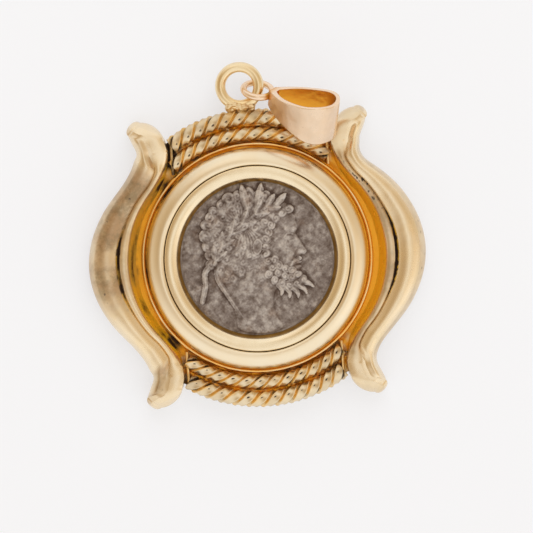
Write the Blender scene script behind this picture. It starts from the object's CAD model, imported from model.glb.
"""Looks of the coin pendant. Lengths here are in millimetres and go into the meshes as metres."""
import math

import bmesh
import bpy
import numpy as np
from mathutils import Matrix, Vector


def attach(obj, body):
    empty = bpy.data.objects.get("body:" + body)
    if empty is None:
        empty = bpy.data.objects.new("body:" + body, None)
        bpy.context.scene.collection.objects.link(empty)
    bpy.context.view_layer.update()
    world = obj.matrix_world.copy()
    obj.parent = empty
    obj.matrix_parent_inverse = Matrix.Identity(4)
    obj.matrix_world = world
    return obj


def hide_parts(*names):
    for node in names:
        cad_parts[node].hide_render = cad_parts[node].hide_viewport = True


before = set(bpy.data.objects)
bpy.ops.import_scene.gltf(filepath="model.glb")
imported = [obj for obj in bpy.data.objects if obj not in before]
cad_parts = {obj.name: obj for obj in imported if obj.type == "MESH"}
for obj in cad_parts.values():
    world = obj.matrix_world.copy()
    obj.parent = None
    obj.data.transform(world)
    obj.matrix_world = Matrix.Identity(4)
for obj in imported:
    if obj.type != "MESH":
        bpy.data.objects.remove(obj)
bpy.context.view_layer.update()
scene = bpy.context.scene

# Sizes, as in the solids
COIN_R, COIN_T, COIN_GAP, RELIEF_H = 9.2, 1.9, 0.03, 0.5
LEDGE_T, LEDGE_LAP = 0.8, 0.9
LIP_LAP, BEZEL_W, BEZEL_H, SEAM = 1.0, 1.73, 1.05, 0.05
RING_W, RING_RISE = 1.8, 0.45
PLATE_T, PLATE_INSET, CHANNEL_W = 1.3, 0.45, 1.98
FILLET_D, FILLET_OFF = 0.44, 0.42
ROPE_IN_D, ROPE_OUT_D, ROPE_STEP, ROPE_GAP, LOBE = 1.6, 1.9, 0.72, 0.05, 1.48
SCROLL_W, SCROLL_H, LIP_W, LIP_H, WALL_W = 4.24, 3.7, 1.25, 3.35, 0.95
STRIP_GAP, STRIP_W = 0.2, 0.32
LOOP_D, LOOP_WIRE, LOOP_X, LOOP_Z, LOOP_BITE = 5.2, 1.14, -0.54, 2.4, 0.22
LINK_WIRE, LINK_PLAY = 0.72, 0.6
SHELL_START, SHELL_END, SHELL_D, SHELL_FULL, SHELL_WALL, SHELL_TIP = 1.75, 9.8, 5.2, 3.0, 0.45, 1.05
SHELL_W0, SHELL_W1, SHELL_BOW, SHELL_CORNER = 1.9, 5.1, 0.1, 0.16
BAIL_TURN, BAIL_RISE, BAIL_ROLL = -27.4, 27.0, 33.6

SEAT_R = COIN_R + COIN_GAP
BACK_R = COIN_R - LEDGE_LAP
BEZEL_IN = COIN_R - LIP_LAP
BEZEL_OUT = BEZEL_IN + BEZEL_W
BORE_R = BEZEL_OUT + SEAM
RING_R = BORE_R + RING_W
CHANNEL_R = RING_R + CHANNEL_W
ROPE_IN_R = RING_R + ROPE_STEP + ROPE_IN_D / 2
ROPE_OUT_R = ROPE_IN_R + (ROPE_IN_D + ROPE_OUT_D) / 2 + ROPE_GAP
EDGE_R = ROPE_OUT_R + ROPE_OUT_D / 2
COIN_Z = LEDGE_T + COIN_GAP
FIELD_Z = COIN_Z + COIN_T
BEZEL_Z = FIELD_Z + COIN_GAP
SEAM_Z = FIELD_Z + BEZEL_H * 0.93
CREST_Z = SEAM_Z + RING_RISE
ROPE_Z = PLATE_T + 0.33 * ROPE_OUT_D
LOOP_MID = (LOOP_D - LOOP_WIRE) / 2
LOOP_Y = EDGE_R + LOOP_D / 2 - LOOP_BITE
LINK_MID = LOOP_WIRE / 2 + LINK_PLAY + LINK_WIRE / 2
LINK_POS = np.array([LOOP_X + LOOP_MID - 0.10, LOOP_Y - 0.57, LOOP_Z + 0.12])
MID_Y = (LOOP_Y + LOOP_D / 2 - EDGE_R) / 2

# Half a scroll, from its middle to its tip: bearing and distance of the lip's inner edge, heading,
# shares of the width, of the lip's width, of the wall and of the height
SCROLL = np.array([
    [0.0, 1.003, 0.0, 1.000, 1.00, 1.00, 1.00], [9.8, 1.000, 9.0, 0.955, 0.95, 1.00, 1.00],
    [19.7, 0.994, 22.0, 0.825, 0.70, 1.00, 0.99], [29.6, 0.981, 36.0, 0.680, 0.58, 1.00, 0.97],
    [37.5, 0.971, 42.0, 0.650, 0.50, 1.00, 0.95], [44.5, 0.977, 35.0, 0.705, 0.66, 0.80, 0.93],
    [50.0, 1.011, 18.0, 0.745, 0.76, 0.45, 0.92], [54.0, 1.071, 4.0, 0.790, 0.80, 0.25, 0.92],
    [55.8, 1.150, -2.0, 0.815, 0.92, 0.15, 0.93], [56.5, 1.235, -12.0, 0.770, 0.95, 0.00, 0.93],
    [55.7, 1.315, -25.0, 0.650, 0.85, 0.00, 0.90], [53.5, 1.386, -42.0, 0.450, 0.60, 0.00, 0.80],
    [50.7, 1.407, -62.0, 0.220, 0.25, 0.00, 0.66], [48.9, 1.399, -75.0, 0.080, 0.08, 0.00, 0.52]])
TIP_ROWS, TIP_BULGE = 20, 0.62

# The ropes end beside the scrolls' inner edge where it runs almost straight up, at the eighth row
STRIP_X = CHANNEL_R * SCROLL[7, 1] * math.cos(math.radians(SCROLL[7, 0])) - STRIP_GAP - STRIP_W

# Body, node and material slot
FRAME = ("pendant", "frame", "gold")
BEZEL = ("pendant", "bezel", "polished_gold")
COIN = ("pendant", "coin", "silver")
BAIL = ("bail", "bail", "rose_gold")


# Mesh helpers
def smooth(a, b, x):
    """A soft step from 0 at a to 1 at b."""
    t = np.clip((x - a) / (b - a), 0, 1)
    return t * t * (3 - 2 * t)


def bell(x, middle, width):
    """1 at the middle, falling softly to 0 on both sides."""
    return np.exp(-((x - middle) / width) ** 2)


def turns(n):
    """The angles of n even steps round a full turn."""
    return np.linspace(0, 2 * np.pi, n, endpoint=False)


def polar(r, a, z):
    """Points at distance r, angle a and height z."""
    return np.stack(np.broadcast_arrays(r * np.cos(a), r * np.sin(a), z), -1)


NOISE_CELLS, NOISE_SHIFT = 24, 200.37
GRIDS = {}


def noise3(p, scale, seed):
    """Smooth noise in space between -1 and 1; p is (..., 3) in millimetres."""
    if seed not in GRIDS:
        GRIDS[seed] = np.random.default_rng(seed).random((NOISE_CELLS,) * 3)
    g = GRIDS[seed]
    q = np.asarray(p, float) * scale + NOISE_SHIFT
    i = np.floor(q).astype(int)
    f = q - i
    f = f * f * (3 - 2 * f)
    ends = ((i % NOISE_CELLS, 1 - f), ((i + 1) % NOISE_CELLS, f))
    out = 0
    for ix, wx in ends:
        for iy, wy in ends:
            for iz, wz in ends:
                out = out + wx[..., 0] * wy[..., 1] * wz[..., 2] * g[ix[..., 0], iy[..., 1], iz[..., 2]]
    return out * 2 - 1


def grid_faces(nu, nv, wrap_u, wrap_v, flip):
    """The squares of a grid. With flip they run backwards, and are split along the other diagonal."""
    i = np.arange(nu if wrap_u else nu - 1)
    j = np.arange(nv if wrap_v else nv - 1)
    i, j = np.meshgrid(i, j, indexing="ij")
    i1, j1 = (i + 1) % nu, (j + 1) % nv
    squares = np.stack([i * nv + j, i1 * nv + j, i1 * nv + j1, i * nv + j1], -1).reshape(-1, 4)
    return squares[:, ::-1] if flip else squares


class Shape:
    """Gathers grids of points and caps into one mesh, with values at its points."""

    def __init__(self):
        self.points, self.faces, self.values, self.count = [], [], {}, 0

    def grid(self, p, wrap_u=False, wrap_v=False, flip=False, **values):
        """Adds rows of points, with values that fit the grid or spread over it. Returns the number of
        the first point."""
        first = self.count
        self.faces += (grid_faces(*p.shape[:2], wrap_u, wrap_v, flip) + first).tolist()
        for key in {**self.values, **values}:
            parts = self.values.setdefault(key, [np.zeros(first)])
            parts.append(np.broadcast_to(values.get(key, 0.0), p.shape[:2]).reshape(-1))
        self.points.append(p.reshape(-1, 3))
        self.count += p.shape[0] * p.shape[1]
        return first

    def cap(self, ring, flip=False):
        """Closes a ring of point numbers."""
        self.faces.append(list(ring)[::-1] if flip else list(ring))

    def band(self, a, b):
        """Joins two rings of point numbers."""
        n = len(a)
        self.faces += [[a[k], b[k], b[(k + 1) % n], a[(k + 1) % n]] for k in range(n)]

    def rings(self, p, flip=False, **values):
        """Adds a row of rings and closes both ends."""
        first = self.grid(p, False, True, flip, **values)
        around = p.shape[1]
        last = first + (len(p) - 1) * around
        self.cap(range(first, first + around), not flip)
        self.cap(range(last, last + around), flip)

    def build(self, name, body, node, slot, material, angle=50.0, place=None):
        """Makes the piece, with its faces outward and its edges sharp above an angle in degrees."""
        p = np.concatenate(self.points)
        if place is not None:
            p = place(p)
        else:
            p = p - [0, MID_Y, 0]
            p[:, 2] = np.maximum(p[:, 2], 0)
        mesh = bpy.data.meshes.new(name)
        mesh.from_pydata((p * 0.001).tolist(), [], self.faces)
        for key, parts in self.values.items():
            at_points = np.concatenate(parts).astype(np.float32)
            mesh.attributes.new(key, "FLOAT", "POINT").data.foreach_set("value", at_points)
        mesh.validate()
        faces = bmesh.new()
        faces.from_mesh(mesh)
        bmesh.ops.recalc_face_normals(faces, faces=faces.faces)
        faces.to_mesh(mesh)
        faces.free()
        mesh.polygons.foreach_set("use_smooth", [True] * len(mesh.polygons))
        if angle:
            mesh.set_sharp_from_angle(angle=math.radians(angle))
        mesh.update()
        obj = bpy.data.objects.new(name, mesh)
        scene.collection.objects.link(obj)
        mesh.materials.append(material)
        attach(obj, body)
        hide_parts(node)


def catmull(rows, steps, closed=False):
    """Smooth values through rows of numbers."""
    rows = np.asarray(rows, float)
    n = len(rows)
    out = []
    for i in range(n if closed else n - 1):
        near = [(i + k) % n if closed else min(max(i + k, 0), n - 1) for k in (-1, 0, 1, 2)]
        a, b, c, d = rows[near]
        for s in range(steps):
            f = s / steps
            out.append(b + 0.5 * f * (c - a + f * (2 * a - 5 * b + 4 * c - d + f * (3 * (b - c) + d - a))))
    if not closed:
        out.append(rows[-1])
    return np.array(out)


def lathe(shape, profile, wobble, seed, **values):
    """Turns a closed profile of (radius, height) rows round the coin's axis, a little unevenly."""
    a = turns(384)[:, None]
    p = polar(profile[:, 0], a, profile[:, 1])
    d = noise3(p, 0.45, seed) * wobble
    shape.grid(p + polar(d, a, 0.6 * d), True, True, True, **values)


def tube(shape, path, radius, around, up=(0, 0, 1), **values):
    """A round wire along a closed path of points."""
    t = np.roll(path, -1, 0) - np.roll(path, 1, 0)
    t /= np.linalg.norm(t, axis=1, keepdims=True)
    side = np.cross(t, up)
    side /= np.linalg.norm(side, axis=1, keepdims=True)
    top = np.cross(side, t)
    a = turns(around)[:, None]
    ring = np.cos(a) * side[:, None] + np.sin(a) * top[:, None]
    shape.grid(path[:, None] + radius[:, None, None] * ring, True, True, **values)


# Materials
class Nodes:
    """Short calls for building the nodes of a material or a world."""

    def __init__(self, owner):
        owner.use_nodes = True
        self.owner, self.tree = owner, owner.node_tree
        self.coord = self.new("ShaderNodeTexCoord").outputs

    def new(self, kind, **props):
        n = self.tree.nodes.new(kind)
        for key, value in props.items():
            setattr(n, key, value)
        return n

    def put(self, socket, value):
        """Links the value if it is another node's output, or else sets it."""
        if isinstance(value, bpy.types.NodeSocket):
            self.tree.links.new(value, socket)
        else:
            socket.default_value = value

    def finish(self, kind, inputs):
        """Fills the inputs of the shader that the tree ends in."""
        shader = next(n for n in self.tree.nodes if n.type == kind)
        for name, value in inputs.items():
            self.put(shader.inputs[name], value)
        return self.owner

    def value(self, name):
        return self.new("ShaderNodeAttribute", attribute_name=name).outputs["Fac"]

    def math(self, op, a, b=0.0, clamp=False):
        n = self.new("ShaderNodeMath", operation=op, use_clamp=clamp)
        self.put(n.inputs[0], a)
        self.put(n.inputs[1], b)
        return n.outputs[0]

    def plus(self, a, b, clamp=False):
        return self.math("ADD", a, b, clamp)

    def less(self, a, b, clamp=False):
        return self.math("SUBTRACT", a, b, clamp)

    def times(self, a, b, clamp=False):
        return self.math("MULTIPLY", a, b, clamp)

    def spread(self, value, low, high):
        """Maps low to 0 and high to 1."""
        n = self.new("ShaderNodeMapRange")
        n.inputs["From Min"].default_value = low
        n.inputs["From Max"].default_value = high
        self.put(n.inputs["Value"], value)
        return n.outputs["Result"]

    def noise(self, scale, detail=4.0, rough=0.55, stretch=None):
        n = self.new("ShaderNodeTexNoise")
        at = self.coord["Object"]
        if stretch:
            m = self.new("ShaderNodeMapping")
            m.inputs["Scale"].default_value = stretch
            self.put(m.inputs["Vector"], at)
            at = m.outputs[0]
        self.put(n.inputs["Vector"], at)
        n.inputs["Scale"].default_value = scale
        n.inputs["Detail"].default_value = detail
        n.inputs["Roughness"].default_value = rough
        return n.outputs["Fac"]

    def cells(self, scale):
        n = self.new("ShaderNodeTexVoronoi")
        self.put(n.inputs["Vector"], self.coord["Object"])
        n.inputs["Scale"].default_value = scale
        return n.outputs["Distance"]

    def ramp(self, fac, stops, smoothly=True):
        """Colours or greys by position, with soft or straight steps between them."""
        n = self.new("ShaderNodeValToRGB")
        r = n.color_ramp
        r.interpolation = "EASE" if smoothly else "LINEAR"
        while len(r.elements) < len(stops):
            r.elements.new(0.5)
        for e, (pos, col) in zip(r.elements, stops):
            e.position = pos
            e.color = (*col, 1.0) if isinstance(col, tuple) else (col, col, col, 1.0)
        self.put(n.inputs["Fac"], fac)
        return n.outputs["Color"]

    def mix(self, fac, a, b):
        n = self.new("ShaderNodeMix", data_type="RGBA")
        self.put(n.inputs["Factor"], fac)
        for name, col in (("A", a), ("B", b)):
            self.put(n.inputs[name], (*col, 1.0) if isinstance(col, tuple) else col)
        return n.outputs["Result"]

    def bump(self, height, strength, distance, normal=None):
        n = self.new("ShaderNodeBump")
        n.inputs["Strength"].default_value = strength
        n.inputs["Distance"].default_value = distance
        self.put(n.inputs["Height"], height)
        if normal is not None:
            self.put(n.inputs["Normal"], normal)
        return n.outputs["Normal"]


def gold(name, base, deep, rough, span=0.10, brushed=0.25, grain=0.0, matt=0.10, film=0.0):
    """Polished gold that goes to the colour deep where the mesh says amber, with brown tarnish and
    black soot. In the amber parts, matt adds roughness and film takes away metal."""
    m = Nodes(bpy.data.materials.new(name))
    blotch = m.noise(380.0, 5.0, 0.6)
    fine = m.noise(2600.0, 3.0, 0.6)
    warm = tuple(0.90 * b + 0.10 * d for b, d in zip(base, deep))
    col = m.mix(m.ramp(blotch, [(0.38, 0.0), (0.66, 1.0)]), base, warm)
    # amber
    amber = m.value("amber")
    uneven = m.plus(m.times(blotch, 0.5), m.times(fine, 0.3))
    stain = m.times(amber, m.plus(uneven, 0.65), True)
    col = m.mix(m.ramp(stain, [(0.10, 0.0), (0.80, 1.0)]), col, deep)
    # brown tarnish, in patches
    patch = m.ramp(m.noise(260.0, 8.0, 0.72), [(0.36, 0.45), (0.60, 1.0)])
    brown = m.times(m.value("brown"), patch, True)
    shade = m.ramp(m.noise(640.0, 6.0, 0.70), [(0.38, 0.0), (0.60, 1.0)])
    col = m.mix(brown, col, m.mix(shade, (0.270, 0.185, 0.100), (0.440, 0.275, 0.150)))
    # soot, and specks of it in the tarnish
    speck = m.times(m.ramp(m.cells(900.0), [(0.10, 1.0), (0.17, 0.0)]), brown)
    speck = m.times(speck, m.ramp(blotch, [(0.50, 0.0), (0.58, 1.0)]), True)
    soot = m.times(m.value("soot"), m.plus(m.times(fine, 0.9), 0.55), True)
    soot = m.math("MAXIMUM", m.ramp(soot, [(0.20, 0.0), (0.85, 1.0)]), speck)
    col = m.mix(soot, col, (0.040, 0.016, 0.006))
    metal = m.less(1.0, m.times(soot, 0.8))
    metal = m.less(metal, m.times(stain, film), True)
    r = m.plus(rough, m.times(m.less(blotch, 0.45), span))
    r = m.plus(r, m.times(soot, 0.40))
    r = m.plus(r, m.times(amber, matt))
    r = m.plus(r, m.times(brown, 0.18), True)
    # fine brushed lines, grain and hand-finished unevenness
    normal = m.bump(m.noise(900.0, 3.0, 0.6, (1.0, 7.0, 1.0)), brushed * 0.35, 0.00002)
    normal = m.bump(fine, 0.18 + grain, 0.00002 + 0.00003 * grain, normal)
    normal = m.bump(m.noise(430.0, 3.0, 0.5), 0.30, 0.00004, normal)
    return m.finish("BSDF_PRINCIPLED", {
        "Base Color": col, "Metallic": metal, "Roughness": r, "Normal": normal})


def silver():
    """Struck silver under a grey-brown crust, lighter on the high points."""
    m = Nodes(bpy.data.materials.new("coin_silver"))
    crust = m.ramp(m.noise(1150.0, 6.0, 0.68), [(0.34, 0.0), (0.66, 1.0)], False)
    tone = m.plus(m.times(m.value("high"), 0.56), m.times(crust, 0.38))
    tone = m.plus(tone, m.times(m.noise(260.0, 5.0, 0.6), 0.30))
    tone = m.less(tone, m.times(m.value("pit"), 0.34), True)
    col = m.ramp(tone, [(0.14, (0.085, 0.054, 0.042)), (0.38, (0.172, 0.132, 0.113)),
                        (0.58, (0.275, 0.232, 0.212)), (0.92, (0.600, 0.550, 0.515))], False)
    rust = m.ramp(m.noise(430.0, 4.0, 0.65), [(0.52, 0.0), (0.72, 0.55)])
    col = m.mix(rust, col, m.mix(tone, (0.10, 0.050, 0.030), (0.40, 0.29, 0.22)))
    rough = m.ramp(tone, [(0.2, 0.75), (0.9, 0.45)])
    normal = m.bump(m.noise(1500.0, 6.0, 0.70), 0.55, 0.00007)
    normal = m.bump(m.noise(3200.0, 3.0, 0.6), 0.35, 0.00003, normal)
    return m.finish("BSDF_PRINCIPLED", {
        "Base Color": col, "Metallic": 0.30, "Roughness": rough, "Normal": normal})


PLAIN, AMBER = (0.900, 0.740, 0.480), (0.950, 0.600, 0.200)
GOLD = gold("frame_gold", PLAIN, AMBER, 0.20)
FLOOR_GOLD = gold("channel_gold", PLAIN, (0.965, 0.490, 0.040), 0.24, 0.12, grain=0.15, matt=0.28, film=0.25)
ROPE_GOLD = gold("rope_gold", (0.810, 0.680, 0.475), (0.930, 0.580, 0.170), 0.31, grain=0.20)
SCROLL_GOLD = gold("scroll_gold", (0.905, 0.755, 0.535), (1.000, 0.600, 0.030), 0.25, 0.12, 0.35, grain=0.10,
                   matt=0.0, film=0.75)
RING_GOLD = gold("ring_gold", (0.915, 0.790, 0.585), AMBER, 0.29, 0.06, 0.35)
LIP_GOLD = gold("bezel_gold", (0.925, 0.790, 0.565), (0.600, 0.360, 0.090), 0.21, 0.05, 0.25)
ROSE = gold("bail_gold", (0.930, 0.730, 0.545), (0.870, 0.405, 0.045), 0.25, 0.10, 0.35, grain=0.15)
SILVER = silver()


# Collar, bezel and fillet wire
def make_collar():
    side = PLATE_T + 0.55 * (CREST_Z - PLATE_T)
    t = np.linspace(0, np.pi, 34)
    share = (1 - np.cos(t)) / 2
    crest = SEAM_Z - side
    ring = np.stack([RING_R + (BORE_R - RING_R) * share,
                     side + crest * share + 1.35 * (CREST_Z - SEAM_Z) * np.sin(t)], 1)
    rows = np.vstack([
        [[BACK_R, 0.06], [BACK_R + 0.06, 0.0], [RING_R - 0.05, 0.0], [RING_R, 0.05], [RING_R, PLATE_T],
         [RING_R, 0.5 * (PLATE_T + side)]], ring,
        [[BORE_R, SEAM_Z - 0.12], [BORE_R, BEZEL_Z], [SEAT_R, BEZEL_Z], [SEAT_R, LEDGE_T],
         [BACK_R + 0.05, LEDGE_T], [BACK_R, LEDGE_T - 0.05]]])
    r, z = rows.T
    outside = r > RING_R - 0.02
    amber = np.where(outside & (z < side + 0.02), 0.60, 0.0)
    soot = np.where(outside & (z > 0.1) & (z <= PLATE_T + 0.05), 0.3, 0.0)
    seam = 5 + len(ring)
    amber[seam:seam + 3] = 0.5
    soot[seam:seam + 3] = [0.8, 1.0, 1.0]
    s = Shape()
    lathe(s, rows, 0.010, 3, amber=amber, soot=soot)
    s.build("collar", *FRAME, RING_GOLD, 60)


# The lip's section: shares of its width from the inside and of its height, amber and soot
LIP = np.array([
    [0.0, 0.0, 0.0, 0.70], [1 - 0.02 / BEZEL_W, 0.0, 0.0, 0.0], [1.0, 0.03 / BEZEL_H, 0.0, 1.0],
    [1.0, 0.84, 0.35, 1.0], [0.97, 0.91, 0.35, 0.35], [0.90, 0.955, 0.0, 0.0], [0.78, 0.990, 0.0, 0.0],
    [0.66, 1.0, 0.0, 0.0], [0.54, 0.975, 0.0, 0.0], [0.42, 0.920, 0.0, 0.0], [0.31, 0.83, 0.0, 0.0],
    [0.245, 0.76, 0.12, 0.0], [0.20, 0.66, 0.35, 0.0], [0.15, 0.50, 0.70, 0.0], [0.08, 0.30, 0.95, 0.08],
    [0.01, 0.12, 1.0, 0.35]])


def make_bezel():
    s = Shape()
    rows = LIP[:, :2] * [BEZEL_W, BEZEL_H] + [BEZEL_IN, BEZEL_Z]
    lathe(s, rows, 0.008, 5, amber=LIP[:, 2], soot=LIP[:, 3])
    s.build("bezel_ring", *BEZEL, LIP_GOLD, 60)


def make_fillet():
    path = polar(RING_R + FILLET_OFF, turns(320), PLATE_T + 0.2 * FILLET_D)
    path += 0.02 * noise3(path, 0.8, 8)[:, None]
    around = 16
    top = np.clip(np.sin(turns(around)), 0, 1)
    bare = 0.55 + 0.35 * noise3(path, 0.5, 10)
    s = Shape()
    tube(s, path, FILLET_D / 2 * (1 + 0.06 * noise3(path, 1.7, 9)), around,
         amber=1 - np.outer(bare, smooth(0.75, 1.0, top)))
    s.build("fillet_wire", *FRAME, GOLD)


# Scrolls
def whole(rows):
    """A scroll's rows from its lower tip to its upper one, made from those of its upper half."""
    return np.vstack([rows[:0:-1] * [-1, 1, -1, 1, 1, 1, 1], rows])


def width_tweak(bearing, sign):
    """How much wider than the solid a scroll is cast, in millimetres: the two sides differ a little."""
    if sign < 0:
        return 0.36 * bell(np.abs(bearing), 42, 9)
    return -0.46 * bell(bearing, 40, 8) - 0.12 * bell(bearing, 55, 5)


def section(row, sign):
    """Flat section of a scroll: offset and height of each point, from the foot of the channel's wall
    over the lip, the groove and the face, and round to the back."""
    bearing, distance, _, width, lip_width, wall, height = row
    near_end = smooth(0.985, 1.12, distance) * smooth(40, 48, abs(bearing))
    tip = smooth(1.17, 1.33, distance)
    widen = max(near_end, smooth(44, 54, abs(bearing)), tip)
    mid = bell(bearing, 0, 13)
    w = SCROLL_W * width + width_tweak(bearing, sign)
    lip = LIP_W * lip_width * (1 - 0.14 * bell(bearing, 0, 22))
    lip += max((0.56 + 0.22 * tip) * w - lip, 0) * widen
    face = w - lip
    top, lip_top = SCROLL_H * height, LIP_H * height
    lip_top += 0.85 * (top - lip_top) * near_end
    dip = 0.5 * min(1, width + 0.1) * (0.52 + 0.48 * mid) * (1 - 0.40 * near_end) * (1 - tip)
    slot = 0.045 + 0.12 * mid + 0.34 * near_end

    def under(share, back):
        return share * w * (1 - wall) - back * WALL_W * wall

    def level(closed, undercut):
        return (closed + (undercut - closed) * wall) * lip_top

    front = [[under(0.12, 1.0), 0.05 + (PLATE_T - 0.35) * wall],
             [under(0.02, 0.62), level(0.14, 0.36)], [under(0.02, 0.42), level(0.22, 0.56)],
             [under(0.01, 0.20), level(0.34, 0.78)], [under(0.0, 0.03), level(0.48, 0.925)],
             [0.06 * lip, level(0.66, 0.965)], [0.16 * lip, level(0.80, 0.985)],
             [0.30 * lip, level(0.91, 0.995)], [0.48 * lip, lip_top],
             [0.66 * lip, 0.995 * lip_top], [0.82 * lip, 0.975 * lip_top],
             [lip - slot * 1.25, 0.95 * lip_top - 0.04 * dip],
             [lip - slot * 0.75, 0.94 * lip_top - 0.45 * dip],
             [lip - slot * 0.2, lip_top - dip * 1.12], [lip + slot * 0.5, lip_top - dip],
             [lip + slot, 0.92 * top - 0.25 * dip]]
    curve = catmull([[0.0, 0.86], [0.10, 0.93], [0.28, 0.99], [0.48, 1.00], [0.68, 0.95], [0.85, 0.83],
                     [0.96, 0.64], [1.00, 0.44], [0.965, 0.20]], 4)
    back = [[w * 0.93, 0.12], [w * 0.88, 0.05], [0.5 * w, 0.05], [0.15 * w, 0.05]]
    points = np.vstack([front, curve[4:] * [face, top] + [lip, 0], back])

    # near its ends the lip widens into the face, with one soft valley
    across, up = points[5:25].T
    even = lip_top + (top - lip_top) * smooth(0.3 * lip, lip + 0.48 * face, across)
    even -= 0.34 * np.clip(1 - across / (0.45 * lip), 0, None) ** 2
    even -= 2.2 * dip * bell(across, lip, 0.10 + 0.13 * w)
    up += widen * (even - up)

    # the knob is domed
    across, up = points[4:-len(back)].T
    share = np.clip(across / w, 0, 1)
    dome = top * (0.35 + 0.65 * np.sqrt(np.clip(1 - (2 * share - 1) ** 2, 0, 1)))
    up += tip * (dome - up)
    return points


def round_tip(rings, heading):
    """Closes a scroll's last rings to a round tip; both arguments run towards the tip."""
    ring, turn = rings[0], heading[0]
    out = np.array([math.cos(turn), math.sin(turn), 0.0])
    away = np.array([abs(out[1]), -math.copysign(out[0], turn), 0.0])
    spread = ring @ out
    centre = ring.mean(0) + out * ((spread.min() + spread.max()) / 2 - spread.mean())
    centre[2] *= 0.4
    t = np.linspace(0, 0.47 * np.pi, len(rings))[:, None, None]
    return centre + np.cos(t) * (ring - centre) + TIP_BULGE * np.sin(t) * away


def scroll_tarnish(p, rows, sign):
    """Amber, soot and brown of a scroll. Of a section's points, 0 to 4 are the channel's wall, 5 to 10
    the lip, 11 to 15 the groove's edges and bottom, and the others the face and the back."""
    along, distance = rows[:, :1], rows[:, 1:2]
    far = np.abs(along)
    index = np.arange(p.shape[1])
    mid = 1 - smooth(8, 24, np.abs(along + (2 if sign > 0 else 0)))
    end = smooth(44, 54, far)
    clean = 1 - smooth(1.20, 1.32, distance)
    amber, soot = np.zeros(p.shape[:2]), np.zeros(p.shape[:2])
    amber[:, :6] = [0.95, 0.95, 0.95, 0.95, 0.50, 0.12]
    amber[:, 12:16] = (0.25 + 0.5 * mid) * (1 - end)
    amber *= clean * (1 - 0.7 * smooth(1.03, 1.14, distance))
    lumps, ragged = noise3(p, 0.9, 27 + sign), noise3(p, 3.2, 41 + sign)
    soot[:, 12:15] = 0.25 + (1.4 if sign > 0 else 0.8) * mid * (0.8 + 0.4 * lumps[:, 12:15])
    soot[:, [11, 15]] = 1.6 * mid * (0.30 + ragged[:, [11, 15]])
    soot = np.clip(soot, 0, 1) * (1 - end)
    soot[:, :2] = 0.12
    corner = bell(far, 41, 4.0) * (1.1 if sign < 0 else 0.45)
    soot[:, :3] = np.maximum(soot[:, :3], corner)
    soot *= clean
    if sign < 0:
        streak = noise3(np.stack(np.broadcast_arrays(0.12 * along, 0.9 * index, 0.0), -1), 1.0, 47)
        wall = (0.44 + 0.45 * streak) * (1 - smooth(34, 44, far))
        soot[:, :5] = np.maximum(soot[:, :5], wall[:, :5])
        brown = np.where(index > 30, 0.62, np.where(index > 14, 0.88, 0.40))
        brown = brown * smooth(-24, -3, along) * (1 - smooth(36, 48, along))
        crease = 0.55 * bell(far, 50, 5) * bell(index, 15, 4.0)
        knob = np.where(along < 0, 0.80, 0.30) * smooth(43, 49, far) * bell(index, 23, 9.0)
        brown = np.maximum(brown, np.maximum(crease, knob))
    else:
        pores = 0.9 * bell(along, 30, 18) * smooth(0.22, 0.40, noise3(p, 5.5, 45))
        soot[:, 7:13] = np.maximum(soot[:, 7:13], pores[:, 7:13])
        brown = np.where(index > 30, 0.40, np.where((index >= 5) & (index <= 12), 0.62, 0.06))
        brown = brown * (1 - 0.7 * end)
    return amber, soot, brown


def make_scroll(name, sign):
    """The right scroll, or with sign -1 the left one."""
    rows = catmull(whole(SCROLL), 10)
    flat = np.array([section(row, sign) for row in rows])
    heading = np.radians(rows[:, 2])
    inner = polar(CHANNEL_R * rows[:, 1], np.radians(rows[:, 0]), 0)
    p = inner[:, None] + flat[..., :1] * polar(1, heading, 0)[:, None]
    p[..., 2] = flat[..., 1]
    amber, soot, brown = scroll_tarnish(p, rows, sign)
    dents = 1.2 * np.minimum(0.034 * noise3(p, 0.5, 21 + sign) + 0.014 * noise3(p, 1.3, 25 + sign), 0)
    dents[:, 4:7] -= 0.05 * np.abs(noise3(p[:, 4:7], 2.6, 29 + sign))
    # melt the creases of the knobs together
    z = p[..., 2]
    ease = 0.9 * smooth(46, 51, np.abs(rows[1:-1, :1]))
    for _ in range(10):
        mean = (z[2:, 6:-6] + z[:-2, 6:-6] + z[1:-1, 5:-7] + z[1:-1, 7:-5]) / 4
        z[1:-1, 6:-6] += ease * (mean - z[1:-1, 6:-6])
    z[:, 2:-4] += dents[:, 2:-4]
    for end, turn in ((p, heading), (p[::-1], heading[::-1])):
        end[-TIP_ROWS:] = round_tip(end[-TIP_ROWS:], turn[-TIP_ROWS:])
    p[..., 0] *= sign
    s = Shape()
    left = sign < 0
    s.grid(p, False, True, left, amber=amber, soot=soot, brown=brown)
    around = p.shape[1]
    s.cap(range(around), left)
    s.cap(range(s.count - around, s.count), not left)
    s.build(name, *FRAME, SCROLL_GOLD, 62)


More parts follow.
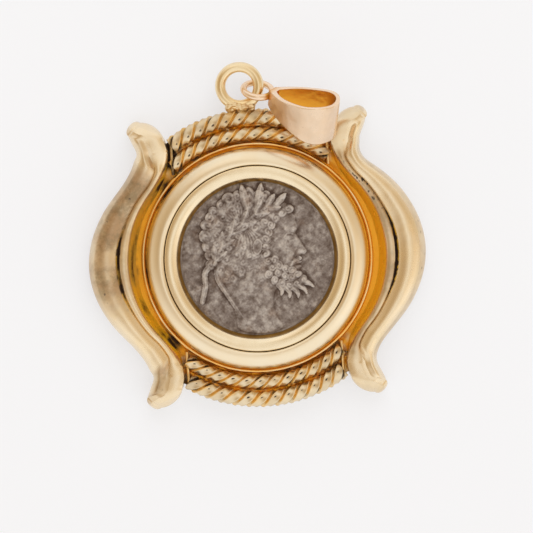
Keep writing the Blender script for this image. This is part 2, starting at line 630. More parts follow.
# Plate
def plate_edge(a):
    """The plate's outline, as a radius at each angle: a disc cut straight beside the ropes' ends, and
    under the scrolls as far out as they reach."""
    rows = whole(SCROLL[:-3])
    width = SCROLL_W * rows[:, 3]
    reach = np.maximum(width - 2 * PLATE_INSET, width / 2)
    bearing, heading = np.radians(rows[:, 0]), np.radians(rows[:, 2])
    line = (polar(CHANNEL_R * rows[:, 1], bearing, 0) + polar(reach, heading, 0))[:, :2]
    line = np.vstack([[0, -CHANNEL_R / 2], line, [0, CHANNEL_R / 2]])
    c, s = np.abs(np.cos(a)), np.sin(a)
    cut = STRIP_X + STRIP_W + STRIP_GAP + PLATE_INSET
    edge = np.minimum(EDGE_R - PLATE_INSET, cut / np.maximum(c, 1e-6))
    for (x0, y0), (x1, y1) in zip(line, line[1:]):
        ex, ey = x1 - x0, y1 - y0
        cross = ex * s - ey * c
        cross[np.abs(cross) < 1e-9] = np.inf
        share = (c * y0 - s * x0) / cross
        dist = np.where((share >= 0) & (share <= 1), (ex * y0 - ey * x0) / cross, 0)
        edge = np.maximum(edge, dist)
    return edge


def make_plate():
    a = turns(480)
    inner, outer = RING_R - RING_W / 2, plate_edge(a)
    rows = []
    for f in np.linspace(0, 1, 24):
        r = inner + (outer - inner) * f
        hollow = np.sin(np.pi * np.clip((r - RING_R) / (CHANNEL_R + 0.3 - RING_R), 0, 1))
        rows.append(polar(r, a, PLATE_T - 0.20 * hollow))
    top_rows = len(rows)
    rows += [polar(outer, a, PLATE_T - 0.12), polar(outer, a, 0.12), polar(outer - 0.12, a, 0.0)]
    rows += [polar(inner + (outer - 0.12 - inner) * f, a, 0.0) for f in (0.6, 0.3, 0.0)]
    p = np.array(rows)
    top = np.zeros(p.shape[:2])
    top[:top_rows] = 1.0

    # soot gathers at the left and in the four corners between ropes and scrolls
    near = np.zeros(len(a))
    for angle, share in ((41, 0.25), (139, 0.95), (221, 0.95), (319, 0.50)):
        near = np.maximum(near, share * bell(np.degrees(a), angle, 4.5))
    dark = 0.12 + 0.72 * np.clip(-np.cos(a), 0, 1) ** 2 + near
    across = (np.hypot(p[..., 0], p[..., 1]) - RING_R) / (CHANNEL_R - RING_R)
    shade = 0.45 + 0.30 * smooth(0.35, 1.0, across) + 0.20 * smooth(0.2, 0.0, across)
    side_gap = smooth(STRIP_X - 0.45, STRIP_X - 0.10, np.abs(p[..., 0]))
    side_gap = side_gap * smooth(9.9, 10.7, np.abs(p[..., 1]))
    corner = np.where((p[..., 0] < 0) & (p[..., 1] > 0), 0.85, 0.22)
    streak = noise3(polar(4, a, 5 * across), 1.0, 39)
    soot = top * np.clip(dark * shade + corner * side_gap + (0.10 + 0.5 * dark) * streak
                         + 0.14 * noise3(p, 0.9, 33) + 0.10 * noise3(p, 2.2, 34), 0, 1)

    # the open channel is amber all over, and in patches between the ropes
    ropes = smooth(0.62, 0.80, np.abs(np.sin(a)))
    open_floor = smooth(0.10, 0.32, across) * (1 - smooth(0.60, 0.95, across))
    run = noise3(p, 1.5, 36)
    amber = top * np.clip((0.86 + 0.14 * open_floor) * (1 - ropes) + ropes * (0.75 + 1.0 * run)
                          + 0.5 * near + 0.16 * noise3(p, 0.6, 35), 0, 1)
    brown = top * ropes * np.clip(0.10 - 0.7 * run, 0, 1)

    # solder stands up in lumps between and beside the ropes
    floor = p[:top_rows]
    floor[..., 2] -= 0.05 * np.clip(noise3(floor, 1.1, 31), 0, 1)
    radius = np.hypot(floor[..., 0], floor[..., 1])
    ridges = 0.75 * bell(radius, (ROPE_IN_R + ROPE_OUT_R) / 2, 0.40)
    ridges += 0.40 * bell(radius, RING_R + 0.55, 0.35)
    floor[..., 2] += ropes * ridges * np.clip(0.75 + 0.8 * noise3(floor, 1.3, 37), 0, 1.2)
    s = Shape()
    s.grid(p, True, True, True, amber=amber, soot=soot, brown=brown)
    s.build("back_plate", *FRAME, FLOOR_GOLD, 40)


# Ropes
def make_rope(name, r, d, half_turn, seed):
    """A rope of slanting lobes, dished and pitted, at the top or with half_turn at the bottom."""
    reach = math.asin((STRIP_X + STRIP_W / 2) / r)
    lobes = round(2 * reach * r / LOBE)
    u = np.linspace(0, 1, lobes * 20 + 1)[:, None]
    bearing = np.pi / 2 + reach * (1 - 2 * u)
    along = u * lobes
    turn = turns(48)[None, :] + np.pi / 2
    lean = along - 0.16 * np.cos(turn)
    lobe = np.clip(np.floor(lean), 0, lobes).astype(int)
    # place across a lobe, from -1 to 1
    phase = np.pi * (lean - 0.5) + turn - np.pi / 2
    w = ((phase / np.pi + 0.5) % 1.0 - 0.5) * 2
    w = w / (1 - 0.30 * np.cos(turn) ** 2)
    rng = np.random.default_rng(seed)
    uneven = 1 + 0.04 * rng.uniform(-1, 1, lobes + 1)[lobe]
    facet = smooth(-1.06, -0.82, w) * (1 - smooth(0.62, 1.06, w))
    dish = np.clip(1 - (w / 0.82) ** 2, 0, 1)
    size = 0.620 + facet * (0.330 + 0.030 * w - 0.105 * dish) * uneven
    size = d / 2 * np.minimum(size + 0.045 * bell(w, 0.62, 0.10) + 0.035 * bell(w, -0.80, 0.08), 1)
    p = polar(r + size * np.cos(turn), bearing, np.maximum(ROPE_Z + size * np.sin(turn), PLATE_T - 0.25))
    # a small pit in most lobes, a little off their middle
    from_top = (turn - np.pi / 2 + np.pi) % (2 * np.pi) - np.pi
    wide = (0.06 + 0.05 * rng.random(lobes + 1))[lobe]
    pit = bell((w - 0.10) * LOBE / 2, 0, 1.4 * wide) * bell((from_top - 0.22) * d / 2, 0, wide)
    pit = pit * (rng.random(lobes + 1) > 0.12)[lobe]
    p[..., 2] -= 0.10 * pit
    # amber in the grooves and low down, soot in the pits and at the rope's ends
    stain = (0.55 + 0.45 * rng.random(lobes + 1))[lobe]
    outside = smooth(0.15, 0.75, np.cos(turn)) * (r > ROPE_IN_R)
    low = np.clip(1 - np.clip(np.sin(turn), 0, 1) * 2.2, 0, 1) * (1 - 0.85 * outside)
    groove = smooth(0.60, 0.84, w) + smooth(-0.82, -0.94, w)
    amber = (0.06 if half_turn else 0.17) + 0.95 * groove * (1 - 0.9 * outside) * stain
    amber = amber + 0.40 * low + 0.10 * smooth(0.55, 1.0, -np.cos(turn)) + 0.20 * smooth(0.30, 0.56, w)
    amber = np.clip(amber + 0.26 * noise3(p, 1.3, seed + 60), 0, 1)
    end = np.maximum(bell(along, 0, 0.5), bell(along, lobes, 0.5))
    murk = np.clip(noise3(p, 0.8, seed + 61), 0, 1)
    soot = np.clip(pit * 1.6 + smooth(0.86, 1.0, np.abs(w)) * (0.42 + 0.6 * murk) + 0.25 * low * murk
                   + end * smooth(0.35, 0.9, np.abs(w)) * 0.6, 0, 1)
    brown = np.clip((0.04 if half_turn else 0.14) + 0.35 * noise3(p, 0.9, seed + 62), 0, 1)
    if half_turn:
        p[..., :2] *= -1
    s = Shape()
    s.rings(p, True, amber=amber, soot=soot, brown=brown)
    s.build(name, *FRAME, ROPE_GOLD, 0)


def make_strip(name, sx, sy):
    """The strip that closes two ropes' ends: a bar with a rounded square section."""
    low = math.sqrt((ROPE_IN_R - ROPE_IN_D / 2) ** 2 - STRIP_X ** 2)
    high = math.sqrt(ROPE_OUT_R ** 2 - STRIP_X ** 2) + 0.35 * ROPE_OUT_D
    top, foot = ROPE_Z + 0.2 * ROPE_OUT_D, PLATE_T - 0.3
    around, squareness = 16, 0.45
    a = turns(around)
    x = np.sign(np.cos(a)) * np.abs(np.cos(a)) ** squareness * STRIP_W / 2
    z = np.sign(np.sin(a)) * np.abs(np.sin(a)) ** squareness * (top - foot) / 2
    y = np.linspace(low, high, 60)[:, None]
    p = np.stack(np.broadcast_arrays(STRIP_X + STRIP_W / 2 + x, y, (top + foot) / 2 + z), -1)
    p[..., 2] -= 0.10 * np.clip(noise3(p, 1.5, 41), 0, 1)
    p *= [sx, sy, 1]
    side = 1 - np.clip(np.sin(a), 0, 1)
    murk = np.clip(noise3(p, 1.1, 43), -0.6, 1)
    dirt = 1.0 if sx < 0 < sy else 0.45
    s = Shape()
    s.rings(p, sx == sy, amber=0.45 + 0.55 * side, soot=dirt * (0.42 + 0.45 * side + 0.35 * murk))
    s.build(name, *FRAME, ROPE_GOLD, 60)


# Loop and solder
def blob(shape, centre, size, seed, soot):
    """A lump of solder: an uneven ball, stretched to its size."""
    v = np.linspace(0.02, np.pi - 0.02, 22)[:, None]
    q = polar(np.sin(v), turns(40), np.cos(v))
    at = q * size + centre
    scale = 1 + 0.30 * noise3(at, 1.6, seed) + 0.12 * noise3(at, 4.0, seed + 1)
    soot = np.clip(soot + 0.9 * noise3(at, 3.0, seed + 2) - 0.15, 0, 1)
    shape.rings(q * size * scale[..., None] + centre, amber=0.35, soot=soot)


def make_loop():
    a = turns(200)
    path = polar(LOOP_MID, a, LOOP_Z) + [LOOP_X, LOOP_Y, 0]
    down = -np.sin(a)[:, None]
    s = Shape()
    tube(s, path, LOOP_WIRE / 2 * (1 + 0.015 * noise3(path, 0.9, 51) - 0.015), 32,
         amber=0.06 + 0.30 * smooth(0.35, 1.0, down), soot=0.20 * smooth(0.8, 1.0, down))
    s.build("wire_loop", *FRAME, GOLD)


def make_solder():
    """Lumps at the loop's foot: x from the loop's middle, y from the frame's edge, z, sizes and soot."""
    s = Shape()
    for i, (x, y, z, rx, ry, rz, soot) in enumerate([
            (-0.90, 0.34, 2.28, 0.70, 0.56, 0.80, 0.12), (-0.25, 0.16, 2.32, 0.66, 0.48, 0.76, 0.30),
            (0.35, 0.20, 2.30, 0.66, 0.48, 0.78, 0.15), (0.95, 0.38, 2.28, 0.66, 0.56, 0.78, 0.20),
            (-0.55, 0.42, 2.20, 0.34, 0.26, 0.78, 0.75), (0.20, 0.46, 2.20, 0.36, 0.24, 0.74, 0.85),
            (1.15, -0.02, 2.05, 0.42, 0.36, 0.56, 0.10), (-1.15, 0.00, 2.00, 0.44, 0.34, 0.56, 0.10)]):
        blob(s, (LOOP_X + x, EDGE_R + y, z), (rx, ry, rz), 60 + i, soot)
    s.build("loop_solder", *FRAME, ROPE_GOLD)


# Bail
def bail_place(p):
    """Turns the bail from its own axes, with the link's centre at 0, to where it lies."""
    t, r, o = (math.radians(v) for v in (BAIL_TURN, -BAIL_RISE, BAIL_ROLL))
    m = Matrix.Rotation(t, 3, "Z") @ Matrix.Rotation(r, 3, "Y") @ Matrix.Rotation(o, 3, "X")
    return p @ np.array(m).T + LINK_POS - [0, MID_Y, 0]


def make_link():
    a = turns(128)
    path = polar(LINK_MID, a, 0)[:, [0, 2, 1]]
    near = smooth(0.80, 1.0, np.cos(a))[:, None]
    s = Shape()
    tube(s, path, LINK_WIRE / 2 * (1 + 0.012 * noise3(path, 1.4, 71) - 0.012), 24, up=(0, 1, 0),
         amber=0.15 + 0.7 * near, soot=0.5 * near)
    s.build("bail_link", *BAIL, ROSE, place=bail_place)


def shell_loop(r, fold_x, narrow):
    """Closed side view of the shell: top flank, round fold, bottom flank and narrow end."""
    t = math.radians(95)
    touch = np.array([fold_x + r * math.cos(t), r * math.sin(t)])
    pull = touch + SHELL_FULL * np.array([-math.sin(t), math.cos(t)])
    k = np.linspace(0, 1, 34, endpoint=False)[:, None]
    flank = (1 - k) ** 2 * np.array(narrow) + 2 * k * (1 - k) * pull + k ** 2 * touch
    b = np.linspace(t, -t, 72)[:, None]
    fold = np.hstack([fold_x + r * np.cos(b), r * np.sin(b)])
    z = np.linspace(-narrow[1], narrow[1], 6, endpoint=False)[1:, None]
    return np.vstack([flank, fold, (flank * [1, -1])[::-1], np.hstack([narrow[0] + 0 * z, z])])


def shell_half_width(x):
    f = np.clip((x - SHELL_START) / (SHELL_END - SHELL_START), 0, 1)
    flat = (SHELL_W0 + (SHELL_W1 - SHELL_W0) * f) / 2 - 4 * SHELL_BOW * f * (1 - f)
    return flat * (1 - SHELL_CORNER * (np.clip(f - 0.7, 0, 1) / 0.3) ** 3)


def make_shell():
    """One closed sheet: outside from side to side, rounded rim, inside and back, rounded rim."""
    r = SHELL_D / 2
    fold_x = SHELL_END - r
    outer = shell_loop(r, fold_x, (SHELL_START, SHELL_TIP / 2))
    inner = shell_loop(r - SHELL_WALL, fold_x,
                       (SHELL_START + 1.7 * SHELL_WALL, SHELL_TIP / 2 - 0.6 * SHELL_WALL))
    half_out, half_in = shell_half_width(outer[:, 0]), shell_half_width(inner[:, 0])
    rim = 0.13
    b = np.radians(np.linspace(15, 165, 7))
    turned, swell = (1 - np.cos(b)) / 2, rim * np.sin(b) ** 0.6
    v = np.linspace(-1, 1, 33)
    inward = np.concatenate([0 * v, turned, 0 * v + 1, 1 - turned])[:, None]
    side = np.concatenate([v, 0 * b + 1, -v, 0 * b - 1])[:, None]
    swell = np.concatenate([0 * v, swell, 0 * v, swell])[:, None]
    y = side * (half_out + (half_in - half_out) * inward - rim + swell)
    flat = outer + (inner - outer) * inward[..., None]
    p = np.stack([flat[..., 0], y, flat[..., 1]], -1)
    inside = inward == 1
    # hand-worked unevenness, always into the metal
    dent = np.abs(noise3(p, 0.7, 81) * 0.03 + np.where(inside, 0.035, 0.008) * noise3(p, 2.6, 82))
    away = (p - [fold_x, 0, 0]) * [1, 0, 1]
    away /= np.maximum(np.linalg.norm(away, axis=-1, keepdims=True), 0.3)
    p = p - (dent * np.where(inside, -0.5, 1.0))[..., None] * away
    near = bell(p[..., 0], SHELL_START, 0.7)
    deep = smooth(6.0, 9.4, p[..., 0]) * inside
    s = Shape()
    s.grid(p, True, True, amber=np.where(inside, 1.0, 0.5 * near), soot=0.35 * near + 0.55 * deep,
           brown=0.20 * (inward == 0))
    s.build("bail_shell", *BAIL, ROSE, 0, place=bail_place)


# Coin: places and sizes of the relief are shares of the coin's radius, and tilts are in degrees
OUTLINE = [
    (0.415, 0.575), (0.462, 0.47), (0.480, 0.38), (0.488, 0.318), (0.466, 0.262), (0.500, 0.195),
    (0.540, 0.118), (0.577, 0.052), (0.556, 0.012), (0.492, -0.004), (0.489, -0.044), (0.516, -0.076),
    (0.484, -0.101), (0.508, -0.129), (0.481, -0.166), (0.496, -0.216), (0.480, -0.268), (0.420, -0.312),
    (0.270, -0.330), (0.175, -0.400), (0.150, -0.540), (0.180, -0.690), (0.240, -0.815), (0.090, -0.868),
    (-0.110, -0.862), (-0.275, -0.800), (-0.300, -0.640), (-0.350, -0.450), (-0.420, -0.270),
    (-0.500, -0.120), (-0.580, 0.050), (-0.605, 0.230), (-0.570, 0.430), (-0.465, 0.600),
    (-0.300, 0.720), (-0.100, 0.785), (0.120, 0.770), (0.290, 0.695)]
# Soft forms of neck and face: height, place, half width, half height, tilt, and whether the form
# ends at the outline
FORMS = [
    (0.12, -0.07, -0.48, 0.13, 0.38, 20, True), (0.06, 0.09, -0.56, 0.08, 0.26, -8, True),
    (-0.05, -0.21, -0.58, 0.09, 0.30, 14, True), (0.10, 0.30, 0.06, 0.17, 0.13, -20, False),
    (0.07, 0.36, 0.43, 0.13, 0.12, 0, False), (0.13, 0.415, 0.305, 0.100, 0.036, -10, True),
    (-0.19, 0.395, 0.232, 0.085, 0.058, -4, False), (0.20, 0.385, 0.226, 0.052, 0.030, -6, False),
    (0.12, 0.497, 0.042, 0.048, 0.044, 0, True), (-0.10, 0.515, 0.012, 0.020, 0.014, 0, False),
    (0.10, 0.478, -0.078, 0.050, 0.026, -8, True), (0.10, 0.472, -0.128, 0.046, 0.026, 6, True),
    (0.08, 0.455, -0.215, 0.060, 0.050, 0, True)]
# Eyelids, fold beside the nose and line of the mouth: height, curve, first and last width
LINES = [(0.09, [(0.325, 0.222), (0.375, 0.262), (0.432, 0.250)], 0.011, 0.009),
         (0.06, [(0.330, 0.212), (0.378, 0.195), (0.425, 0.208)], 0.009, 0.007),
         (-0.07, [(0.462, 0.055), (0.425, 0.0), (0.405, -0.05)], 0.018, 0.012),
         (-0.13, [(0.495, -0.101), (0.455, -0.104), (0.415, -0.112)], 0.012, 0.007)]
EAR = (0.010, 0.135, 0.058, 0.098, -10)
HAIR = [(0.395, 0.585), (0.330, 0.520), (0.250, 0.460), (0.190, 0.380), (0.155, 0.290), (0.135, 0.180),
        (0.130, 0.060), (0.090, 0.020), (0.060, 0.080), (0.040, 0.020), (-0.030, -0.010), (-0.100, -0.060),
        (-0.180, -0.150), (-0.300, -0.230), (-0.400, -0.250), (-0.480, -0.150), (-0.560, 0.040),
        (-0.600, 0.230), (-0.565, 0.430), (-0.460, 0.600), (-0.300, 0.715), (-0.100, 0.780),
        (0.120, 0.765), (0.290, 0.690)]
# Rows of curls round the skull: distance, first and last angle, number and radius
SKULL_ROWS = [(0.495, 62, 214, 13, 0.074), (0.375, 52, 222, 11, 0.074), (0.250, 40, 236, 8, 0.076),
              (0.130, 55, 235, 4, 0.070)]
HAIRLINE = [(0.402, 0.545), (0.322, 0.505), (0.245, 0.450), (0.185, 0.380), (0.145, 0.300),
            (0.118, 0.215), (0.100, 0.130), (0.100, 0.045)]
NAPE = [(-0.085, 0.03), (-0.17, -0.03), (-0.26, -0.08), (-0.355, -0.13), (-0.44, -0.10), (-0.20, -0.14),
        (-0.30, -0.20), (-0.38, -0.22)]
BEARD = [(0.125, -0.035), (0.165, -0.115), (0.225, -0.180), (0.300, -0.225), (0.380, -0.245), (0.455, -0.225),
         (0.195, -0.035), (0.245, -0.100), (0.315, -0.145), (0.388, -0.168),
         (0.120, -0.190), (0.185, -0.265), (0.265, -0.310), (0.350, -0.330), (0.435, -0.320), (0.510, -0.285)]
# Curls placed one by one: places, height, radius, groove's turn, squash, tilt, and which ones turn back
CURLS = [(HAIRLINE, 1.10, 0.062, 1.3, 0.85, 30, 2), (NAPE, 0.90, 0.066, 0.9, 0.80, 50, 2),
         (BEARD, 0.98, 0.058, 1.7, 0.82, 40, 3)]
BEARD_TIPS = [[(0.23, -0.33), (0.26, -0.39), (0.245, -0.445)],
              [(0.31, -0.36), (0.345, -0.42), (0.34, -0.48)],
              [(0.39, -0.37), (0.435, -0.425), (0.44, -0.485)],
              [(0.46, -0.35), (0.515, -0.39), (0.54, -0.445)],
              [(0.52, -0.31), (0.58, -0.335), (0.625, -0.375)]]
MOUSTACHE = [(0.49, -0.035), (0.43, -0.055), (0.385, -0.105)]
WREATH = [(-0.50, -0.03), (-0.40, 0.16), (-0.26, 0.32), (-0.08, 0.45), (0.10, 0.56), (0.27, 0.635)]
# Leaves that stand up at the wreath's front: place, length, half width and direction
FRONT_LEAVES = [(-0.075, 0.560, 0.320, 0.066, 99), (0.045, 0.570, 0.310, 0.066, 78),
                (0.255, 0.600, 0.190, 0.052, 44)]
KNOT = (-0.545, -0.035, 0.062, 1, 0.5)
TIES = [([(-0.52, -0.02), (-0.615, -0.12), (-0.625, -0.28), (-0.675, -0.46)], 0.036, 0.030),
        ([(-0.48, -0.06), (-0.47, -0.22), (-0.36, -0.42), (-0.22, -0.66)], 0.034, 0.028)]


def inside_distance(x, y, poly):
    """Distance to the outline, positive inside it."""
    best = np.full(x.shape, 9.0)
    odd = np.zeros(x.shape, bool)
    for (ax, ay), (bx, by) in zip(poly, np.roll(poly, -1, 0)):
        dx, dy = bx - ax, by - ay
        t = np.clip(((x - ax) * dx + (y - ay) * dy) / (dx * dx + dy * dy + 1e-12), 0, 1)
        best = np.minimum(best, np.hypot(x - ax - t * dx, y - ay - t * dy))
        if ay != by:
            odd ^= ((ay > y) != (by > y)) & (x < dx * (y - ay) / dy + ax)
    return np.where(odd, best, -best)


def local(x, y, cx, cy, w, h, tilt=0.0):
    """Places measured from cx, cy along tilted axes, in shares of w and h."""
    c, s = math.cos(math.radians(tilt)), math.sin(math.radians(tilt))
    return ((x - cx) * c + (y - cy) * s) / w, ((y - cy) * c - (x - cx) * s) / h


def soft(x, y, *oval):
    """Soft bump, 1 in the middle and 0 outside."""
    u, v = local(x, y, *oval)
    return np.clip(1 - (u * u + v * v), 0, None) ** 1.5


def curl(x, y, cx, cy, r, hand=1, turn=0.0, squash=1.0, tilt=0.0):
    """A curl of hair: a low dome with a spiral groove, in its own small window."""
    out = np.zeros(x.shape)
    near = (np.abs(x - cx) < 1.3 * r) & (np.abs(y - cy) < 1.3 * r)
    u, v = local(x[near], y[near], cx, cy, r, r * squash, tilt)
    q = u * u + v * v
    spiral = 0.5 + 0.5 * np.cos(np.arctan2(v, u) * hand - 8.6 * np.sqrt(q) + turn)
    out[near] = np.clip(1 - q, 0, None) ** 0.42 * (0.54 + 0.46 * spiral) + 0.06 * np.exp(-q * 8) * (q < 1)
    return out


def lock(x, y, points, w0, w1, ridges=0):
    """A strand along a curve, from width w0 to w1, with fine ridges along it."""
    path = catmull(points, 5)
    n = len(path) - 1
    best = np.zeros(x.shape)
    for i in range(n):
        (ax, ay), (bx, by) = path[i], path[i + 1]
        dx, dy = bx - ax, by - ay
        ln = math.hypot(dx, dy) + 1e-12
        t = np.clip(((x - ax) * dx + (y - ay) * dy) / ln ** 2, 0, 1)
        f = (i + t) / n
        w = w0 + (w1 - w0) * f
        px, py = x - ax - t * dx, y - ay - t * dy
        h = np.sqrt(np.clip(1 - (np.hypot(px, py) / w) ** 2, 0, None)) * (1 - 0.25 * f)
        if ridges:
            h = h * (0.80 + 0.20 * np.cos((dx * py - dy * px) / ln / w * math.pi * ridges))
        best = np.maximum(best, h)
    return best


def leaf(x, y, cx, cy, length, width, turn):
    """A laurel leaf with a middle rib, its base at cx, cy."""
    u, v = local(x, y, cx, cy, length, width, turn)
    half = np.sqrt(np.clip(u, 0, 1)) * np.clip(1 - u, 0, 1) ** 0.7 * 1.75
    inside = np.clip(1 - np.abs(v) / np.maximum(half, 1e-6), 0, 1)
    return np.where((u > 0) & (u < 1), np.sqrt(inside) * 0.75 + 0.25 * bell(v, 0, 0.16) * (inside > 0), 0)


def skull_curls():
    """Curls in rows from the forehead over the crown to the nape, each a little different."""
    out = []
    rng = np.random.default_rng(5)
    for dist, a0, a1, n, r in SKULL_ROWS:
        for k in range(n):
            a = math.radians(a0 + (a1 - a0) * k / (n - 1) + rng.uniform(-3.5, 3.5))
            cx, cy = -0.075 + 1.02 * dist * math.cos(a), 0.255 + dist * math.sin(a)
            out.append((cx, cy, r * rng.uniform(0.86, 1.16), 1 if rng.random() < 0.6 else -1,
                        rng.uniform(0, 6.3), rng.uniform(0.74, 0.98), rng.uniform(0, 180)))
    return out


def head(x, y):
    """The bare head, with its neck a little lower."""
    d = inside_distance(x, y, catmull(OUTLINE, 5, True))
    base = np.sqrt(np.clip(1 - (1 - np.clip(d / 0.17, 0, 1)) ** 2, 0, 1))
    h = base * (0.46 + 0.20 * bell(x, 0.02, 0.4) * bell(y, 0.12, 0.4))
    h -= 0.10 * np.clip((-0.22 - y) / 0.25, 0, 1) * base
    for height, *oval, ends in FORMS:
        h += height * soft(x, y, *oval) * ((d > 0) | (not ends))
    for height, curve, w0, w1 in LINES:
        h += height * lock(x, y, curve, w0, w1)
    return np.maximum(h, 0)


def hair(x, y):
    """Strands on the skull, and over them the curls, the beard and the moustache; 0 elsewhere."""
    d = inside_distance(x, y, catmull(HAIR, 4, True))
    cx, cy = x + 0.15, y - 0.40
    turn, far = np.arctan2(cy, cx), np.hypot(cx, cy)
    strands = 0.5 + 0.5 * np.cos(30 * turn + 3.5 * np.sin(11 * far + 2 * turn) + 9 * far)
    out = np.where(d > 0, np.sqrt(np.clip(d / 0.05, 0, 1)) * (0.38 + 0.26 * strands), 0)
    for each in skull_curls():
        out = np.maximum(out, 0.98 * curl(x, y, *each))
    for places, height, r, groove, squash, tilt, every in CURLS:
        for k, place in enumerate(places):
            hand = 1 if k % every else -1
            out = np.maximum(out, height * curl(x, y, *place, r, hand, k * groove, squash, k * tilt))
    for tip in BEARD_TIPS:
        out = np.maximum(out, 0.85 * lock(x, y, tip, 0.040, 0.012, 2))
    return np.maximum(out, 0.80 * lock(x, y, MOUSTACHE, 0.026, 0.014, 2))


def wreath(x, y):
    """A stem with six pairs of leaves along it, and the leaves at its front."""
    path = catmull(WREATH, 8)
    leaves = list(FRONT_LEAVES)
    for k in range(6):
        i = int((k + 0.35) / 6.2 * (len(path) - 1))
        tx, ty = path[i + 1] - path[i]
        along = math.degrees(math.atan2(ty, tx))
        leaves += [(*path[i], 0.185, 0.056, along + 30), (*path[i], 0.175, 0.052, along - 27)]
    out = 0.55 * lock(x, y, WREATH, 0.020, 0.016)
    for each in leaves:
        out = np.maximum(out, leaf(x, y, *each))
    return out


def relief(x, y):
    """Height of the relief from 0 on the field to about 1 at the cheek and the hair."""
    h, locks, laurel = head(x, y), hair(x, y), wreath(x, y)
    out = np.where(locks > 0.02, np.maximum(h, 0.22 * np.clip(locks * 3, 0, 1)) + 0.30 * locks, h)
    out = np.where(laurel > 0.03, np.maximum(out * 0.55 + 0.30, 0.34) + 0.27 * laurel, out)
    u, v = local(x, y, *EAR)
    q = u * u + v * v
    ear = 0.15 * np.clip(1.1 - q, 0, 1) ** 0.5 + 0.10 * bell(q, 0.72, 0.22) - 0.13 * np.exp(-q / 0.22)
    out = np.where((q < 1.1) & (laurel <= 0.03), np.maximum(h * 0.9 + ear + 0.12, 0), out)
    ties = 1.15 * curl(x, y, *KNOT)
    for path, w0, w1 in TIES:
        ties = np.maximum(ties, lock(x, y, path, w0, w1, 2))
    return np.maximum(out, np.where(ties > 0.02, 0.12 + 0.30 * ties, 0))


def make_coin():
    # a square grid drawn out to a disc carries the relief
    n = 262
    g = np.linspace(-1, 1, n)
    gx, gy = np.meshgrid(g, g, indexing="ij")
    x, y = gx * np.sqrt(1 - gy ** 2 / 2), gy * np.sqrt(1 - gx ** 2 / 2)
    p = np.stack([x * COIN_R, y * COIN_R, 0 * x], -1)
    broad = 0.060 * noise3(p, 0.6, 91) + 0.060 * noise3(p, 1.3, 92)
    crust = 0.050 * noise3(p, 2.3, 93) + 0.036 * noise3(p, 4.3, 94) + 0.018 * noise3(p, 8.0, 98)
    edge = smooth(BEZEL_IN / COIN_R, BEZEL_IN / COIN_R - 0.025, np.hypot(x, y))
    worn = 0.80 + 0.20 * smooth(-0.35, 0.25, noise3(p, 0.45, 99))
    h = relief(x, y)
    raised = h * 0.45 * worn + broad
    p[..., 2] = COIN_Z + COIN_T + np.clip(raised + crust + 0.05, 0.0, RELIEF_H) * edge

    # high points and hollows, found by comparing with the height around them
    clean = (raised + 0.62 * crust) * edge
    near, wide = (sum(np.roll(clean, k, ax) for k in (far, -far) for ax in (0, 1)) / 4 for far in (2, 7))
    bend = (0.55 * (clean - near) + 0.45 * (clean - wide)) * edge
    s = Shape()
    first = s.grid(p, high=np.clip(0.44 + bend * 7.5 + 0.22 * (h - 0.35), 0, 1), pit=np.clip(-bend * 9, 0, 1))

    # side and back: rings from the grid's border down and in to the middle
    up, down = np.arange(n - 1), np.arange(n - 1, 0, -1)
    start, last = 0 * up, 0 * up + n - 1
    i, j = np.concatenate([up, last, down, start]), np.concatenate([start, up, last, down])
    a = np.arctan2(y[i, j], x[i, j])
    rim_r = np.concatenate([[1.0, 1.0, 0.998, 0.990, 0.975], np.linspace(0.94, 0.03, 17)])[:, None]
    rim_z = np.concatenate([[0.75 * COIN_T, 0.14, 0.05, 0.01, 0.0], np.zeros(17)])[:, None]
    rim = polar(rim_r * COIN_R, a, COIN_Z + rim_z)
    rim[5:, :, 2] += np.clip(0.03 + 0.03 * noise3(rim[5:], 1.0, 95) + 0.02 * noise3(rim[5:], 2.4, 97), 0, 0.1)
    base = s.grid(rim, False, True, high=0.40 + 0.12 * noise3(rim, 2.0, 96))
    s.band((first + i * n + j).tolist(), range(base, base + len(a)))
    s.cap(range(s.count - len(a), s.count), True)
    s.build("coin_disc", *COIN, SILVER, 0)


make_plate()
make_collar()
make_bezel()
make_fillet()
make_scroll("scroll_right", 1)
make_scroll("scroll_left", -1)
for label, half_turn in (("top", False), ("bottom", True)):
    make_rope(f"rope_inner_{label}", ROPE_IN_R, ROPE_IN_D, half_turn, 3 + half_turn)
    make_rope(f"rope_outer_{label}", ROPE_OUT_R, ROPE_OUT_D, half_turn, 7 + half_turn)
for sx, side in ((1, "right"), (-1, "left")):
    for sy, end in ((1, "top"), (-1, "bottom")):
        make_strip(f"end_strip_{side}_{end}", sx, sy)
make_loop()
make_solder()
make_link()
make_shell()
make_coin()


# Floor, light and camera
def make_floor():
    mesh = bpy.data.meshes.new("floor")
    mesh.from_pydata([(-3, -3, 0), (3, -3, 0), (3, 3, 0), (-3, 3, 0)], [], [(0, 1, 2, 3)])
    floor = bpy.data.objects.new("floor", mesh)
    scene.collection.objects.link(floor)
    m = Nodes(bpy.data.materials.new("floor_white"))
    mesh.materials.append(m.finish("BSDF_PRINCIPLED", {
        "Base Color": m.mix(m.noise(3.0), (0.44, 0.44, 0.442), (0.46, 0.46, 0.46)),
        "Roughness": 0.9, "Specular IOR Level": 0.1,
        "Emission Color": (0.895, 0.930, 1.0, 1.0), "Emission Strength": 0.560}))


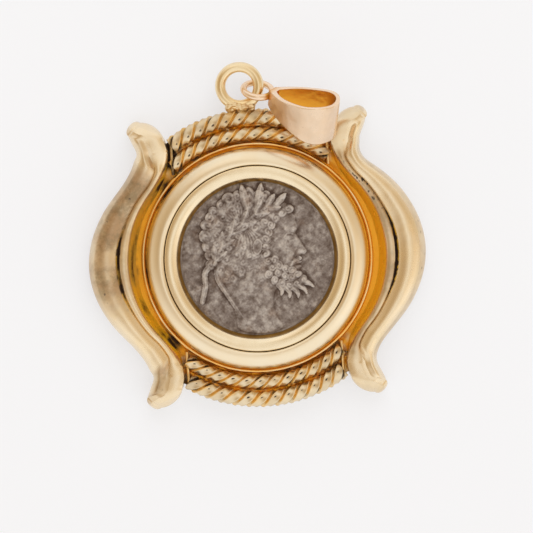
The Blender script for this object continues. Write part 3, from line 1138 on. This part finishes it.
def studio_light():
    """Soft light from all round: white above and below the picture, warmer and dimmer at its sides."""
    w = Nodes(bpy.data.worlds.new("studio"))
    axes = w.new("ShaderNodeSeparateXYZ")
    w.put(axes.inputs[0], w.coord["Generated"])
    sides = w.ramp(w.spread(axes.outputs["X"], -1.0, 1.0), [
        (0.00, (0.78, 0.67, 0.52)), (0.13, (0.58, 0.43, 0.255)), (0.27, (0.50, 0.365, 0.21)),
        (0.41, (0.66, 0.53, 0.37)), (0.51, (0.97, 0.95, 0.91)), (0.57, (0.98, 0.96, 0.93)),
        (0.67, (0.85, 0.75, 0.62)), (0.82, (0.68, 0.53, 0.34)), (1.00, (0.76, 0.66, 0.53))], False)
    off_middle = w.math("ABSOLUTE", w.less(axes.outputs["Y"], 0.18))
    tone = w.mix(w.spread(off_middle, 0.25, 0.75), sides, (1.0, 0.985, 0.96))
    return w.finish("BACKGROUND", {"Color": tone, "Strength": 1.0})


def panel(name, where, size, power, gloss):
    """A square lamp that faces the pendant, its place and size in metres; gloss lets it be mirrored."""
    light = bpy.data.lights.new(name, "AREA")
    light.size = size
    light.energy = power
    obj = bpy.data.objects.new(name, light)
    obj.location = where
    obj.rotation_euler = (-Vector(where)).to_track_quat("-Z", "Y").to_euler()
    obj.visible_glossy = gloss
    scene.collection.objects.link(obj)


make_floor()
scene.world = studio_light()
panel("key", (0.07, 0.27, 0.29), 0.30, 0.22, False)
panel("sheen", (-0.13, 0.25, 0.27), 0.22, 0.03, True)
panel("fill", (0.26, -0.10, 0.22), 0.25, 0.04, True)

# The camera stands CAMERA_DIST from the point that it aims at, where the picture is VIEW_W wide. The
# photo is PHOTO_PX wide, and shows the ring's centre, at height REF_Z, at the pixel RING_PX.
CAMERA_DIST, CAMERA_TILT, CAMERA_ROLL, SENSOR_W = 470.0, 3.0, 4.3, 36.0
REF_Z, VIEW_W, PHOTO_PX, RING_PX = 3.5, 56.76, 533, (257.4, 258.6)


def make_camera():
    data = bpy.data.cameras.new("camera")
    data.sensor_width = SENSOR_W
    data.lens = SENSOR_W * CAMERA_DIST / VIEW_W
    data.clip_start, data.clip_end = 0.01, 20
    tilt, roll = math.radians(CAMERA_TILT), math.radians(CAMERA_ROLL)
    back = Vector((0, math.sin(tilt), math.cos(tilt)))
    level = Vector((1, 0, 0))
    steep = back.cross(level)
    right = math.cos(roll) * level - math.sin(roll) * steep
    up = math.sin(roll) * level + math.cos(roll) * steep
    mm_per_px = VIEW_W / PHOTO_PX
    aim = Vector((0, -MID_Y, REF_Z))
    aim += right * (PHOTO_PX / 2 - RING_PX[0]) * mm_per_px - up * (PHOTO_PX / 2 - RING_PX[1]) * mm_per_px
    camera = bpy.data.objects.new("camera", data)
    camera.matrix_world = (Matrix.Translation((aim + back * CAMERA_DIST) * 0.001)
                           @ Matrix((right, up, back)).transposed().to_4x4())
    scene.collection.objects.link(camera)
    scene.camera = camera


make_camera()
scene.view_settings.view_transform = "Standard"
